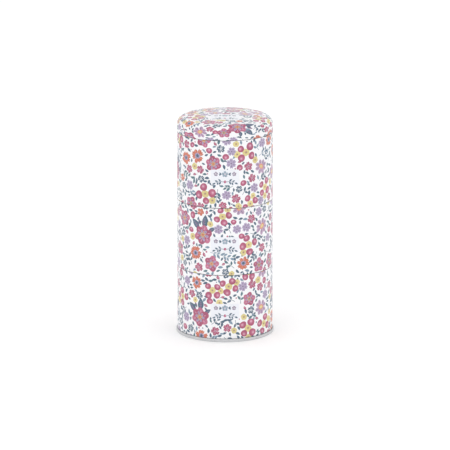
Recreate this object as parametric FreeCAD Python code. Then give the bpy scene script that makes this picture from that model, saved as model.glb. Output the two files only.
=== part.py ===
"""Three-tier stacking tin: three round sheet-metal tins that plug together under one slip lid.

Every piece is pressed or rolled from thin tinplate, so each one is drawn as the centre-line of
its sheet, a chain of straight runs and bends in the (radius, height) plane, thickened to the
sheet's gauge and turned about the Z axis. Lengths are millimetres. The origin is the centre of
the ring that the stack stands on, +Z is up and the front of the stack faces -Y.
"""

import FreeCAD
import Part
import math
import os

# ---- driving dimensions -------------------------------------------------------------------
outer_radius = 39.0          # outside of the printed walls and of the lid's skirt
tier_pitch = 55.7            # from the lower edge of one tin to the lower edge of the next
sheet = 0.28                 # tinplate gauge, the same for every piece
layer_gap = 0.04             # between two layers of sheet that are folded or seamed together
slip_clearance = 0.15        # radial, between a collar and the hem that slides over it
seat_gap = 0.05              # height left between a wall's mouth and the edge that rests on it

collar_height = 8.5          # bare collar that stands up out of each tin's mouth
collar_curl = 1.1            # outside diameter of the rolled edge on top of a collar
collar_headroom = 0.6        # free height between a collar and the floor of the tin above it
jog_angle = 45.0             # slope of the small steps in a collar's wall

mouth_hem = 4.0              # depth of the wall's top edge folded down inside the mouth
foot_hem = 3.0               # depth of the wall's lower edge folded up over the floor pan

lid_headroom = 6.0           # outside height of the lid beyond the collar that it covers
lid_shoulder = 6.5           # outside radius of the rounded edge of the lid
lid_dome = 2.4               # rise of the lid's shallow dome above its rounded edge

pan_corner = 1.6             # outside radius between a floor pan and its skirt
panel_border = 7.0           # flat ring between that corner and the raised middle panel
panel_step = 0.5             # height of the raised panel of a floor pan or of the base
panel_bend = 0.6             # centre-line radius of the two bends that raise it

base_seam_height = 2.6       # rolled double seam that joins the base to the lowest wall
base_seam_corner = 0.3       # centre-line radius of the seam's two lower corners
base_recess = 3.4            # underside of the base panel above the ring that it stands on
hook_relief = 0.07           # room left past the free end of each hook in the double seam

side_seam_width = 4.0        # folded lock seam down the back of each wall, inside
side_seam_layers = 2         # extra layers of sheet that the lock seam holds
side_seam_relief = 1.0       # height left between the lock seam and the pieces above and below
side_groove_width = 0.35     # fine groove that the lock seam leaves outside
side_groove_depth = 0.14

TIERS = ("bottom", "middle", "top")

# ---- dimensions that follow ---------------------------------------------------------------
layer = sheet + layer_gap                              # one folded layer to the next
wall_inside = outer_radius - sheet
wall_line = outer_radius - sheet / 2                   # centre-line of a wall
foot_fold = layer                                      # centre-line radius, over the pan's skirt
mouth_fold = layer / 2                                 # centre-line radius, closed on itself
foot_hem_inside = outer_radius - 3 * sheet - 2 * layer_gap
mouth_hem_inside = outer_radius - 2 * sheet - layer_gap
collar_radius = foot_hem_inside - slip_clearance       # outside of the collar
wall_top = tier_pitch - seat_gap                       # mouth above the tin's lower edge
floor_underside = collar_height + collar_headroom      # floor pan above the tin's lower edge
lid_height = collar_height + lid_headroom
lid_bottom = len(TIERS) * tier_pitch


# ---- sheet metal --------------------------------------------------------------------------
def run(length):
    """A straight run of the sheet."""
    return ("run", length)


def bend(radius, angle):
    """A bend of the sheet's centre-line; a positive angle turns to the left."""
    return ("bend", radius, angle)


def jog(shift):
    """Two equal and opposite bends that move a sheet running up by shift, outwards if positive."""
    turn = -math.copysign(jog_angle, shift)
    radius = abs(shift) / (2 * (1 - math.cos(math.radians(jog_angle))))
    return [bend(radius, turn), bend(radius, -turn)]


def jog_length(shift):
    """How far along the sheet's run a jog reaches."""
    return abs(shift) * math.sin(math.radians(jog_angle)) / (1 - math.cos(math.radians(jog_angle)))


def at(radius, height):
    """A point of the section plane."""
    return FreeCAD.Vector(radius, 0, height)


def direction(degrees):
    """Unit vector in the section plane, 0 degrees outwards and 90 up."""
    return at(math.cos(math.radians(degrees)), math.sin(math.radians(degrees)))


def sheet_ring(radius, height, heading, moves):
    """Solid of revolution of a sheet whose centre-line starts at (radius, height)."""
    point = at(radius, height)
    sides = {1: [], -1: []}
    for move in moves:
        if move[0] == "run":
            end = point + direction(heading) * move[1]
            for side, edges in sides.items():
                offset = direction(heading + 90) * (side * sheet / 2)
                edges.append(Part.LineSegment(point + offset, end + offset).toShape())
            point = end
            continue
        bend_radius, angle = move[1:]
        left = math.copysign(1, angle)
        centre = point + direction(heading + 90) * (left * bend_radius)
        spoke = heading - left * 90
        for side, edges in sides.items():
            edge_radius = bend_radius - left * side * sheet / 2
            stops = [centre + direction(spoke + angle * share) * edge_radius for share in (0, 0.5, 1)]
            edges.append(Part.Arc(*stops).toShape())
        heading += angle
        point = centre + direction(spoke + angle) * bend_radius
    caps = []
    for number in (0, -1):
        ends = [edges[number].Vertexes[number].Point for edges in sides.values()]
        caps.append(Part.LineSegment(*ends).toShape())
    outline = Part.Wire(Part.__sortEdges__(sides[1] + sides[-1] + caps))
    turned = Part.Face(outline).revolve(at(0, 0), FreeCAD.Vector(0, 0, 1), 360)
    return turned if turned.ShapeType == "Solid" else Part.makeSolid(turned.Shells[0])


def strip(inside, outside, low, high, width):
    """An upright strip of a ring, as wide as given, centred on the back of the tin."""
    corners = [at(inside, low), at(outside, low), at(outside, high), at(inside, high)]
    angle = math.degrees(width / outer_radius)
    face = Part.Face(Part.makePolygon(corners + corners[:1]))
    face.rotate(at(0, 0), FreeCAD.Vector(0, 0, 1), 90 - angle / 2)
    return face.revolve(at(0, 0), FreeCAD.Vector(0, 0, 1), angle)


# ---- the pieces, each drawn with its own tin's lower edge at height 0 ------------------------
def panel(reach):
    """Moves for a flat floor from the axis out to reach, with its middle raised by a step."""
    step = [bend(panel_bend, -jog_angle), bend(panel_bend, jog_angle)]
    slope = math.radians(jog_angle)
    bends_rise = 2 * panel_bend * (1 - math.cos(slope))
    straight = (panel_step - bends_rise) / math.sin(slope)
    step.insert(1, run(straight))
    step_reach = 2 * panel_bend * math.sin(slope) + straight * math.cos(slope)
    return [run(reach - panel_border - step_reach), *step, run(panel_border)]


def mouth_moves():
    """The top edge of a wall: folded in and down on itself."""
    return [bend(mouth_fold, 180), run(mouth_hem - mouth_fold - sheet / 2)]


def with_side_seam(wall, low, high):
    """Adds the lock seam inside a wall's back, between two heights, and its groove outside."""
    thickness = side_seam_layers * layer
    ridge = strip(wall_inside - thickness, wall_line, low, high, side_seam_width)
    floor_of_groove = outer_radius - side_groove_depth
    groove = strip(floor_of_groove, outer_radius + sheet, low, high, side_groove_width)
    return wall.fuse(ridge).cut(groove).removeSplitter().Solids[0]


def upper_wall():
    """Wall of the top or the middle tin: its lower edge is folded up inside, over the floor pan."""
    fold_reach = foot_fold + sheet / 2
    fold_centre_height = fold_reach
    moves = [
        run(foot_hem - fold_centre_height),
        bend(foot_fold, 180),
        run(wall_top - fold_centre_height - mouth_fold - sheet / 2),
        *mouth_moves(),
    ]
    wall = sheet_ring(wall_line - 2 * foot_fold, foot_hem, -90, moves)
    return with_side_seam(wall, floor_underside + sheet + side_seam_relief, seam_top())


def seam_top():
    """Height at which a lock seam ends, below the collar's foot."""
    return wall_top - collar_depth() - side_seam_relief


def base_wall():
    """Wall of the bottom tin: its lower edge is hooked outwards into the base's double seam."""
    fold_bottom = layer
    fold_centre_height = fold_bottom + layer + sheet / 2
    moves = [
        run(hook_end_height() - fold_centre_height),
        bend(layer, -180),
        run(wall_top - fold_centre_height - mouth_fold - sheet / 2),
        *mouth_moves(),
    ]
    wall = sheet_ring(wall_line + 2 * layer, hook_end_height(), -90, moves)
    return with_side_seam(wall, base_recess + sheet + side_seam_relief, seam_top())


def hook_end_height():
    """Free end of the wall's hook, inside the top fold of the double seam."""
    return base_seam_height - layer - sheet / 2 - hook_relief


def base_end():
    """Base of the bottom tin: a recessed panel whose rim is double-seamed over the wall's hook."""
    chuck_line = wall_line - layer
    outside_line = wall_line + 3 * layer
    flat = outside_line - chuck_line - 2 * base_seam_corner
    panel_line = base_recess + sheet / 2
    corner = pan_corner - sheet / 2
    cover_fold_height = base_seam_height - layer - sheet / 2
    wall_fold_centre = 2 * layer + sheet / 2
    moves = [
        *panel(chuck_line - corner),
        bend(corner, -90),
        run(panel_line - corner - base_seam_corner - sheet / 2),
        bend(base_seam_corner, 90),
        run(flat),
        bend(base_seam_corner, 90),
        run(cover_fold_height - base_seam_corner - sheet / 2),
        bend(layer, 180),
        run(cover_fold_height - wall_fold_centre - hook_relief),
    ]
    return sheet_ring(0, panel_line + panel_step, 0, moves)


def floor_pan():
    """Floor of the top or the middle tin: a shallow inverted cup whose skirt the wall's hem grips."""
    skirt_line = wall_line - layer
    corner = pan_corner - sheet / 2
    floor_line = floor_underside + sheet / 2
    skirt_end = foot_fold + sheet / 2 + hook_relief
    moves = [*panel(skirt_line - corner), bend(corner, -90), run(floor_line - corner - skirt_end)]
    return sheet_ring(0, floor_line + panel_step, 0, moves)


def collar_shifts():
    """Radial shift from a collar's foot to its grip inside the hem, and from there to its neck."""
    foot_line = wall_inside - layer_gap - sheet / 2
    grip_line = mouth_hem_inside - layer_gap - sheet / 2
    return foot_line, grip_line - foot_line, (collar_radius - sheet / 2) - grip_line


def collar_depth():
    """How far a collar reaches down below the wall's mouth."""
    return mouth_hem + layer_gap + jog_length(collar_shifts()[1]) + 2 * sheet


def collar():
    """Collar that plugs into the tin above: its foot springs out under the wall's folded mouth."""
    foot_line, to_grip, to_neck = collar_shifts()
    curl_line = (collar_curl - sheet) / 2
    grip_top = jog_length(to_neck) + layer_gap
    moves = [
        run(2 * sheet),
        *jog(to_grip),
        run(mouth_hem + layer_gap - grip_top),
        *jog(to_neck),
        run(layer_gap + collar_height - collar_curl / 2),
        bend(curl_line, 285),
    ]
    return sheet_ring(foot_line, wall_top - collar_depth(), 90, moves)


def lid_shell():
    """Slip lid: a shallow dome, a rounded shoulder and a skirt rolled inwards at its edge."""
    shoulder = lid_shoulder - sheet / 2
    reach = wall_line - shoulder
    arm = (reach**2 + lid_dome**2) / (2 * lid_dome)
    crown = arm + shoulder
    crown_angle = math.asin(reach / arm)
    shoulder_drop = shoulder * math.cos(crown_angle)
    crown_drop = crown * (1 - math.cos(crown_angle))
    roll_height = layer + sheet / 2
    crown_line = lid_height - sheet / 2
    moves = [
        bend(crown, -math.degrees(crown_angle)),
        bend(shoulder, math.degrees(crown_angle) - 90),
        run(crown_line - crown_drop - shoulder_drop - roll_height),
        bend(layer, -270),
    ]
    return sheet_ring(0, crown_line, 0, moves)


# ---- the stack ----------------------------------------------------------------------------
def all_pieces():
    """Every piece in its place, by the name of its node."""
    pieces = {}
    for number, tier in enumerate(TIERS):
        lowest = number == 0
        made = {
            f"{tier}_wall": base_wall() if lowest else upper_wall(),
            f"{tier}_collar": collar(),
            "base_end" if lowest else f"{tier}_floor_pan": base_end() if lowest else floor_pan(),
        }
        for name, piece in made.items():
            pieces[name] = piece.translated(at(0, number * tier_pitch))
    pieces["lid_shell"] = lid_shell().translated(at(0, lid_bottom))
    return pieces


def main():
    """Writes one STEP file for each piece."""
    os.makedirs("parts", exist_ok=True)
    for name, piece in all_pieces().items():
        if not (piece.isValid() and piece.Volume > 0):
            raise ValueError(f"{name} is not a sound solid")
        piece.exportStep(f"parts/{name}.step")
        box = piece.BoundBox
        print(f"{name}: z {box.ZMin:.3f} to {box.ZMax:.3f}, across {box.XLength:.3f}, {piece.Volume:.0f} mm3")


main()
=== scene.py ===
"""Three-tier stacking tin: round printed tins that plug together under one slip lid.

The file is laid out as a Blender add-on and is run as a script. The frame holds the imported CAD
pieces. Every visible piece is formed here from the same sheet sections: flat printed sheets, drawn
as artwork and then rolled or drawn to shape, make the walls and the lid, and bare tinplate makes
the collars, the floors and the base. Shapes are worked out in millimetres and built in metres.
"""

import math
import random

import bpy
import numpy as np
from bpy.props import FloatProperty, FloatVectorProperty, IntProperty, PointerProperty
from mathutils import Matrix, Vector
from mathutils.geometry import delaunay_2d_cdt


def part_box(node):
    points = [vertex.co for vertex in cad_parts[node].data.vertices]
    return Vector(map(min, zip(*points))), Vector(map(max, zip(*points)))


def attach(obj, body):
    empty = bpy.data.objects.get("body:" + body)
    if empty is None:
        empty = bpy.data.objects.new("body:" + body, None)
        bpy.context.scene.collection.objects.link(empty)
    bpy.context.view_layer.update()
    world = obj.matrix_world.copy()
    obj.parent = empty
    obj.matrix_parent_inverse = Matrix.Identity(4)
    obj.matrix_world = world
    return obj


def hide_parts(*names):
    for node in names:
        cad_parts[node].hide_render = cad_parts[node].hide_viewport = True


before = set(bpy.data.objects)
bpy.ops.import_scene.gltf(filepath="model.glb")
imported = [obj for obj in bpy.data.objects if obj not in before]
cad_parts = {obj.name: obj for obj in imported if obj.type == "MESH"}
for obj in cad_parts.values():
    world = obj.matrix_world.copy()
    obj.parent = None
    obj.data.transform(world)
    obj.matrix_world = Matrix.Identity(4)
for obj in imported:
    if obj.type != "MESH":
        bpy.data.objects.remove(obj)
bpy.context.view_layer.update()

bl_info = {
    "name": "Stacking tin",
    "version": (1, 0, 0),
    "blender": (4, 5, 0),
    "location": "View3D > Sidebar > Stacking tin",
    "description": "Builds a tower of round printed tins with a slip lid around its CAD frame",
    "category": "Object",
}

MM = 0.001
TIERS = ("bottom", "middle", "top")

OUTER_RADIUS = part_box("middle_wall")[1].x / MM
TIER_PITCH = (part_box("top_wall")[0].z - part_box("middle_wall")[0].z) / MM
LID_BOTTOM = len(TIERS) * TIER_PITCH
LID_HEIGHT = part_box("lid_shell")[1].z / MM - LID_BOTTOM
WALL_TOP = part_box("middle_wall")[1].z / MM - TIER_PITCH
COLLAR_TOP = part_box("middle_collar")[1].z / MM - TIER_PITCH
COLLAR_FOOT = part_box("middle_collar")[0].z / MM - TIER_PITCH
PAN_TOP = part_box("middle_floor_pan")[1].z / MM - TIER_PITCH
PAN_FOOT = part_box("middle_floor_pan")[0].z / MM - TIER_PITCH
BASE_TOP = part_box("base_end")[1].z / MM

COLUMNS = 192            # divisions round a tin; the print's map is cut at every quarter of them
FINE_CURVE = 0.008       # how far a drawn bend may stray from its true arc
LONGEST_RUN = 2.0        # longest step along a straight run


def paint(code):
    """Linear colour of a six-figure sRGB code."""
    shares = [int(code[place:place + 2], 16) / 255 for place in (0, 2, 4)]
    return tuple(s / 12.92 if s <= 0.04045 else ((s + 0.055) / 1.055) ** 2.4 for s in shares)


def length(name, size, description):
    """A size of the tin, in metres, from millimetres."""
    return FloatProperty(
        name=name, description=description, default=size * MM, unit="LENGTH", precision=5
    )


def ink(name, code, description):
    """A printing ink or finish."""
    return FloatVectorProperty(
        name=name, description=description, default=paint(code), subtype="COLOR", size=3, min=0, max=1
    )


# ---- what a user may change -----------------------------------------------------------------
class StackingTinSheet(bpy.types.PropertyGroup):
    """Sizes of the tinplate and its folds."""

    gauge: length("Gauge", 0.28, "Thickness of the tinplate")
    layer_gap: length("Layer gap", 0.04, "Room between two folded layers")
    slip: length("Slip", 0.15, "Radial room between a collar and the hem around it")
    mouth_hem: length("Mouth hem", 4.0, "Depth of a wall's top edge folded down inside")
    foot_hem: length("Foot hem", 3.0, "Depth of a wall's lower edge folded up inside")
    collar_curl: length("Collar curl", 1.1, "Outside diameter of a collar's rolled edge")
    lid_shoulder: length("Lid shoulder", 6.5, "Outside radius of the lid's rounded edge")
    lid_dome: length("Lid dome", 2.4, "Rise of the lid's dome above its rounded edge")
    pan_corner: length("Pan corner", 1.6, "Outside radius of a floor's corner")
    panel_border: length("Panel border", 7.0, "Flat ring round a floor's raised panel")
    panel_step: length("Panel step", 0.5, "Height of a floor's raised panel")
    seam_height: length("Base seam", 2.6, "Height of the base's rolled double seam")
    groove_depth: length("Side groove", 0.14, "Depth of the groove outside a wall's lock seam")


class StackingTinPrint(bpy.types.PropertyGroup):
    """Inks and layout of the flower print."""

    ground: ink("Ground", "F0F0F2", "White coat under the print")
    label_ground: ink("Label ground", "E9EBF1", "Plain panel of a label")
    rose: ink("Rose", "AB5371", "Petals of the large flowers and berries")
    rose_light: ink("Light rose", "BF6F8B", "Lighter petals")
    rose_pale: ink("Pale rose", "D9A5B8", "Hearts of the berries")
    coral: ink("Coral", "C76E57", "Daisies")
    coral_light: ink("Light coral", "DB927B", "Lighter daisies")
    lilac: ink("Lilac", "B0A1BF", "Small blossoms")
    lilac_rosy: ink("Rosy lilac", "B99DB8", "Long daisies")
    lilac_deep: ink("Deep lilac", "86758F", "Streaks of the blossoms")
    butter: ink("Butter", "DCCF90", "Yellow blooms")
    butter_deep: ink("Deep butter", "CFB172", "Hearts of the yellow blooms")
    slate: ink("Slate", "4C6479", "Blue leaves and blossoms")
    slate_light: ink("Light slate", "7B92A5", "Lighter leaves")
    teal: ink("Teal", "54757F", "Small green-blue leaves")
    plum: ink("Plum", "7A5D7F", "Ribs of the large leaves")
    label_width: length("Label width", 23.0, "Width of a label panel")
    label_height: length("Label height", 12.7, "Height of a label panel")
    label_centre: length("Label centre", 25.6, "Centre of a label above a tin's lower edge")
    lid_label_height: length("Lid label height", 16.0, "Height of the label panel on the lid")
    lid_label_shift: length("Lid label shift", 13.0, "How far in front of the centre the lid's label is")
    seed: IntProperty(name="Seed", description="Another seed scatters the flowers anew", default=7)


class StackingTinStudio(bpy.types.PropertyGroup):
    """Floor, light and camera."""

    floor: ink("Floor", "FCFCFC", "Pale floor")
    sky: FloatProperty(name="Sky", description="Strength of the even white light", default=1.0)
    key: FloatProperty(name="Key", description="Power of the front light", default=6, unit="POWER")
    fill: FloatProperty(name="Fill", description="Power of the side light", default=3, unit="POWER")
    distance: FloatProperty(name="Distance", description="Camera to tin", default=3.0, unit="LENGTH")
    elevation: FloatProperty(
        name="Elevation",
        description="Camera above the horizon",
        default=math.radians(14.08),
        subtype="ANGLE",
    )
    aim: length("Aim", 88.06, "Height that the camera looks at")
    lens: FloatProperty(name="Lens", description="Focal length in millimetres", default=294.4)


def sheet_size(name):
    """A size of the sheet, in millimetres."""
    return getattr(bpy.context.scene.stacking_tin_sheet, name) / MM


def print_size(name):
    """A size of the print, in millimetres."""
    return getattr(bpy.context.scene.stacking_tin_print, name) / MM


# ---- sheet sections -------------------------------------------------------------------------
def run(distance):
    """A straight run of the sheet."""
    return ("run", distance)


def bend(radius, angle):
    """A bend of the sheet's centre-line; a positive angle turns to the left."""
    return ("bend", radius, angle)


def jog(shift, slope=45.0):
    """Two opposite bends that move a sheet running up by shift, outwards if positive."""
    turn = -math.copysign(slope, shift)
    radius = abs(shift) / (2 * (1 - math.cos(math.radians(slope))))
    return [bend(radius, turn), bend(radius, -turn)]


def jog_length(shift, slope=45.0):
    """How far along the sheet's run a jog reaches."""
    return abs(shift) / math.tan(math.radians(slope / 2))


def bead(radius=1.2, slope=24.0):
    """A low rounded ring pressed up out of a floor that runs outwards."""
    return [bend(radius, slope), bend(radius, -2 * slope), bend(radius, slope)]


def bead_length(radius=1.2, slope=24.0):
    """How far a bead reaches along the floor."""
    return 4 * radius * math.sin(math.radians(slope))


class Station:
    """One point of a section: both sides of the sheet, the face's normal and the run so far."""

    def __init__(self, point, heading, gauge, face_side, along):
        left = Vector((-math.sin(heading), math.cos(heading)))
        self.normal = left * face_side
        self.centre = point.copy()
        self.face = point + self.normal * (gauge / 2)
        self.back = point - self.normal * (gauge / 2)
        self.along = along


def section(radius, height, heading, moves, face_side=1):
    """Stations of a sheet from (radius, height); face_side is 1 if its face is on the left."""
    gauge = sheet_size("gauge")
    point = Vector((radius, height))
    angle = math.radians(heading)
    stations = [Station(point, angle, gauge, face_side, 0.0)]
    for move in moves:
        if move[0] == "run":
            steps = max(1, math.ceil(move[1] / LONGEST_RUN))
            for _ in range(steps):
                point = point + Vector((math.cos(angle), math.sin(angle))) * (move[1] / steps)
                along = stations[-1].along + move[1] / steps
                stations.append(Station(point, angle, gauge, face_side, along))
            continue
        bend_radius, turn = move[1], math.radians(move[2])
        left = math.copysign(1, turn)
        face_radius = bend_radius - left * face_side * gauge / 2
        finest = 2 * math.acos(max(0.0, 1 - FINE_CURVE / max(bend_radius, FINE_CURVE * 2)))
        long_steps = math.ceil(abs(turn) * bend_radius / LONGEST_RUN)
        steps = max(2, math.ceil(abs(turn) / finest), long_steps)
        centre = point + Vector((-math.sin(angle), math.cos(angle))) * (left * bend_radius)
        for _ in range(steps):
            angle += turn / steps
            point = centre + Vector((math.sin(angle), -math.cos(angle))) * (left * bend_radius)
            along = stations[-1].along + abs(turn) / steps * face_radius
            stations.append(Station(point, angle, gauge, face_side, along))
    return stations


def layers():
    """Gauge, one folded layer and the centre-line radius of a wall."""
    gauge = sheet_size("gauge")
    return gauge, gauge + sheet_size("layer_gap"), OUTER_RADIUS - gauge / 2


def mouth_moves():
    """A wall's top edge, folded in and down on itself."""
    gauge, layer, _ = layers()
    return [bend(layer / 2, 180), run(sheet_size("mouth_hem") - layer / 2 - gauge / 2)]


def upper_wall_section():
    """Wall of the top or the middle tin, from the free end of its foot hem to that of its mouth."""
    gauge, layer, line = layers()
    fold_height = layer + gauge / 2
    foot = sheet_size("foot_hem")
    rise = WALL_TOP - fold_height - layer / 2 - gauge / 2
    moves = [run(foot - fold_height), bend(layer, 180), run(rise), *mouth_moves()]
    return section(line - 2 * layer, foot, -90, moves, face_side=-1)


def base_wall_section():
    """Wall of the bottom tin, from the end of its hook in the base's seam to that of its mouth."""
    gauge, layer, line = layers()
    fold_height = 2 * layer + gauge / 2
    hook_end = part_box("base_end")[0].z / MM + sheet_size("seam_height") - layer - gauge / 2 - 0.07
    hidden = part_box("base_end")[0].z / MM + sheet_size("seam_height") + 0.2 - fold_height
    rise = WALL_TOP - fold_height - hidden - layer / 2 - gauge / 2
    moves = [run(hook_end - fold_height), bend(layer, -180), run(hidden), run(rise), *mouth_moves()]
    return section(line + 2 * layer, hook_end, -90, moves, face_side=-1)


def print_limits(stations, lowest):
    """How far along the face the print begins and ends; the folds beyond are bare and painted dark as
    the shade in the seams.
    """
    facing_out = [s for s in stations if s.normal.x > 0.8]
    if lowest:
        top_of_seam = sheet_size("seam_height") + 0.1
        facing_out = [s for s in facing_out if s.face.y > top_of_seam]
    return facing_out[0].along, facing_out[-1].along


def lid_section():
    """Lid, from its centre over the shoulder and down the skirt to the rolled edge."""
    gauge, layer, line = layers()
    shoulder = sheet_size("lid_shoulder") - gauge / 2
    reach, rise = line - shoulder, sheet_size("lid_dome")
    arm = (reach**2 + rise**2) / (2 * rise)
    crown = arm + shoulder
    tilt = math.asin(reach / arm)
    top = LID_HEIGHT - gauge / 2
    drop = crown * (1 - math.cos(tilt)) + shoulder * math.cos(tilt) + layer + gauge / 2
    moves = [
        bend(crown, -math.degrees(tilt)),
        bend(shoulder, math.degrees(tilt) - 90),
        run(top - drop),
        bend(layer, -270),
    ]
    return section(0, top, 0, moves, face_side=1)


def collar_section():
    """Collar, from its sprung foot under the wall's hem to the curl at its top."""
    gauge, layer, line = layers()
    gap = sheet_size("layer_gap")
    foot_line = line - layer
    grip_line = foot_line - layer
    neck_line = OUTER_RADIUS - 3 * gauge - 2 * gap - sheet_size("slip") - gauge / 2
    curl = (sheet_size("collar_curl") - gauge) / 2
    to_neck = neck_line - grip_line
    grip_top = jog_length(to_neck) + gap
    grip = sheet_size("mouth_hem") + gap - grip_top
    lower = [run(2 * gauge), *jog(grip_line - foot_line), run(grip)]
    reached = COLLAR_FOOT + 2 * gauge + jog_length(grip_line - foot_line)
    reached += grip + jog_length(to_neck)
    upper = [*jog(to_neck), run(COLLAR_TOP - curl - gauge / 2 - reached), bend(curl, 285)]
    return section(foot_line, COLLAR_FOOT, 90, lower + upper, face_side=-1)


def floor_moves(reach):
    """A floor from the axis out to reach, with a pressed ring on its raised middle panel."""
    bend_radius, slope = 0.6, math.radians(45)
    straight = (sheet_size("panel_step") - 2 * bend_radius * (1 - math.cos(slope))) / math.sin(slope)
    step_reach = 2 * bend_radius * math.sin(slope) + straight * math.cos(slope)
    panel = reach - sheet_size("panel_border") - step_reach
    ring_margin = 3.0
    inner = panel - ring_margin - bead_length()
    return [
        run(inner),
        *[bend(move[1], -move[2]) for move in bead()],
        run(ring_margin),
        bend(bend_radius, -45),
        run(straight),
        bend(bend_radius, 45),
        run(sheet_size("panel_border")),
    ]


def pan_section():
    """Floor of the top or the middle tin, from its centre to the end of its skirt."""
    gauge, layer, line = layers()
    corner = sheet_size("pan_corner") - gauge / 2
    skirt = line - layer
    panel_line = PAN_TOP - gauge / 2
    floor_line = panel_line - sheet_size("panel_step")
    moves = [*floor_moves(skirt - corner), bend(corner, -90), run(floor_line - corner - PAN_FOOT)]
    return section(0, panel_line, 0, moves)


def base_section():
    """Base, from its centre through the chuck wall and round the double seam."""
    gauge, layer, line = layers()
    corner = sheet_size("pan_corner") - gauge / 2
    seam_corner = 0.3
    chuck = line - layer
    flat = 4 * layer - 2 * seam_corner
    panel_line = BASE_TOP - gauge / 2
    floor_line = panel_line - sheet_size("panel_step")
    cover_height = sheet_size("seam_height") - layer - gauge / 2
    moves = [
        *floor_moves(chuck - corner),
        bend(corner, -90),
        run(floor_line - corner - seam_corner - gauge / 2),
        bend(seam_corner, 90),
        run(flat),
        bend(seam_corner, 90),
        run(cover_height - seam_corner - gauge / 2),
        bend(layer, 180),
        run(cover_height - 2 * layer - gauge / 2 - 0.07),
    ]
    return section(0, panel_line, 0, moves)


# ---- flower artwork -------------------------------------------------------------------------
LEAVES, BLOOMS, FLOWERS, LABELS = range(4)      # layers of the print, lowest first
SHORTEST_EDGE = 0.01        # edges and shapes under these sizes are left out of the print
SMALLEST_SHAPE = 0.02


class Artwork:
    """A flat sheet of flat-coloured shapes, in millimetres; a later shape covers an earlier one."""

    def __init__(self, seed, keep_inside, press=None, snug=1.0):
        self.random = random.Random(seed)
        self.keep_inside = keep_inside
        self.press = press          # squeezes a motif to suit its place on the sheet
        self.snug = snug            # how much of its own room a motif keeps to itself
        self.middle = Vector((0, 0))
        self.inks = bpy.context.scene.stacking_tin_print
        self.layer = LEAVES
        self.shapes = []
        self.taken = np.zeros((0, 3))

    def shape(self, points, name, shade=None):
        """Adds a closed shape, given anticlockwise, in the ink of that name."""
        if shade is None:
            shade = self.random.uniform(0.93, 1.07)
        colour = tuple(min(1.0, share * shade) for share in getattr(self.inks, name))
        if self.press:
            points = [self.press(point, self.middle) for point in points]
        kept = [self.keep_inside(point) for point in points]
        pairs = zip(kept, kept[1:] + kept[:1])
        drawn = [point for point, after in pairs if (point - after).length > SHORTEST_EDGE]
        if len(drawn) < 3 or flat_area(drawn) < SMALLEST_SHAPE:
            return
        # the sheet is filled from the left of the last edge, so that must be one inside the sheet
        free = [n for n, point in enumerate(drawn) if point in points and drawn[n - 1] in points]
        if free:
            start = max(free, key=lambda n: (drawn[n] - drawn[n - 1]).length)
            self.shapes.append((self.layer, drawn[start:] + drawn[:start], colour))

    def blob(self, centre, radius, name, lobes=0, depth=0.0, turn=0.0, stretch=1.0, points=None):
        """A round shape with a hand-drawn edge; lobes and depth scallop it."""
        rough = self.random.uniform(0, math.tau)
        count = points or max(9, round(math.tau * radius / 0.42), 6 * lobes)
        outline = []
        for number in range(count):
            angle = math.tau * number / count
            reach = 1 + 0.045 * math.sin(2 * angle + rough) + 0.03 * math.sin(3 * angle - rough)
            reach *= radius
            if lobes:
                reach *= 1 - depth * (1 - abs(math.cos(lobes * angle / 2)) ** 0.7)
            spoke = Vector((math.cos(angle) * stretch, math.sin(angle))) * reach
            spoke.rotate(Matrix.Rotation(turn, 2))
            outline.append(centre + spoke)
        self.shape(outline, name)

    def petal(self, base, heading, size, width, name, tip="round", shade=None):
        """A petal or leaf from its base along heading; tip is round, pointed or notched."""
        steps = 4 if size < 2.2 else 6
        forward = Vector((math.cos(heading), math.sin(heading)))
        across = Vector((-forward.y, forward.x))
        curve = self.random.uniform(-0.09, 0.09) * size
        right, left = [], []
        for number in range(1, steps + 1):
            share = number / (steps + 1)
            if tip == "pointed":
                half = math.sin(math.pi * share ** 0.85) ** 0.9
            else:
                half = math.sin(math.pi * share ** 1.35) ** 0.62
            spine = base + forward * (share * size) + across * (curve * math.sin(math.pi * share))
            right.append(spine - across * (half * width / 2))
            left.append(spine + across * (half * width / 2))
        end = base + forward * size
        middle = {"round": [end], "pointed": [end], "notched": []}[tip]
        if tip == "notched":
            middle = [
                end - across * (width * 0.3),
                base + forward * (size * 0.82),
                end + across * (width * 0.3),
            ]
        self.shape([base, *right, *middle, *reversed(left)], name, shade)

    def stroke(self, points, width, name):
        """A thin line through the points, tapering towards its end."""
        right, left = [], []
        for number, point in enumerate(points):
            before, after = points[max(0, number - 1)], points[min(len(points) - 1, number + 1)]
            forward = (after - before).normalized()
            across = Vector((-forward.y, forward.x))
            half = width / 2 * (1 - 0.45 * number / (len(points) - 1))
            right.append(point - across * half)
            left.append(point + across * half)
        self.shape([*right, *reversed(left)], name, 1.0)

    # -- room on the sheet
    def free(self, discs, overlap=0.0):
        """Whether discs of (x, y, radius) find room beside all that is drawn so far."""
        if not len(self.taken):
            return True
        for x, y, radius in discs:
            apart = np.hypot(self.taken[:, 0] - x, self.taken[:, 1] - y)
            gap = apart - (self.taken[:, 2] + radius) * self.snug
            if gap.min() < -overlap:
                return False
        return True

    def take(self, discs):
        """Marks discs of (x, y, radius) as drawn on."""
        self.taken = np.vstack([self.taken, np.array(discs)])


def flat_area(points):
    """Area inside a closed line that runs anticlockwise."""
    return sum(a.cross(b) for a, b in zip(points, points[1:] + points[:1])) / 2


def polar(angle, reach):
    """Flat vector of that angle and length."""
    return Vector((math.cos(angle) * reach, math.sin(angle) * reach))


def around(count, turn, offset=0.0):
    """Angles of count things spaced evenly round a flower."""
    return [turn + math.tau * (number + offset) / count for number in range(count)]


def streak(art, at, size, angle, start, reach, width, name, shade=None):
    """Pointed streak that runs outwards; its measures are shares of the flower's size."""
    base = at + polar(angle, start * size)
    art.petal(base, angle, reach * size, width * size, name, "pointed", shade)


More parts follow.
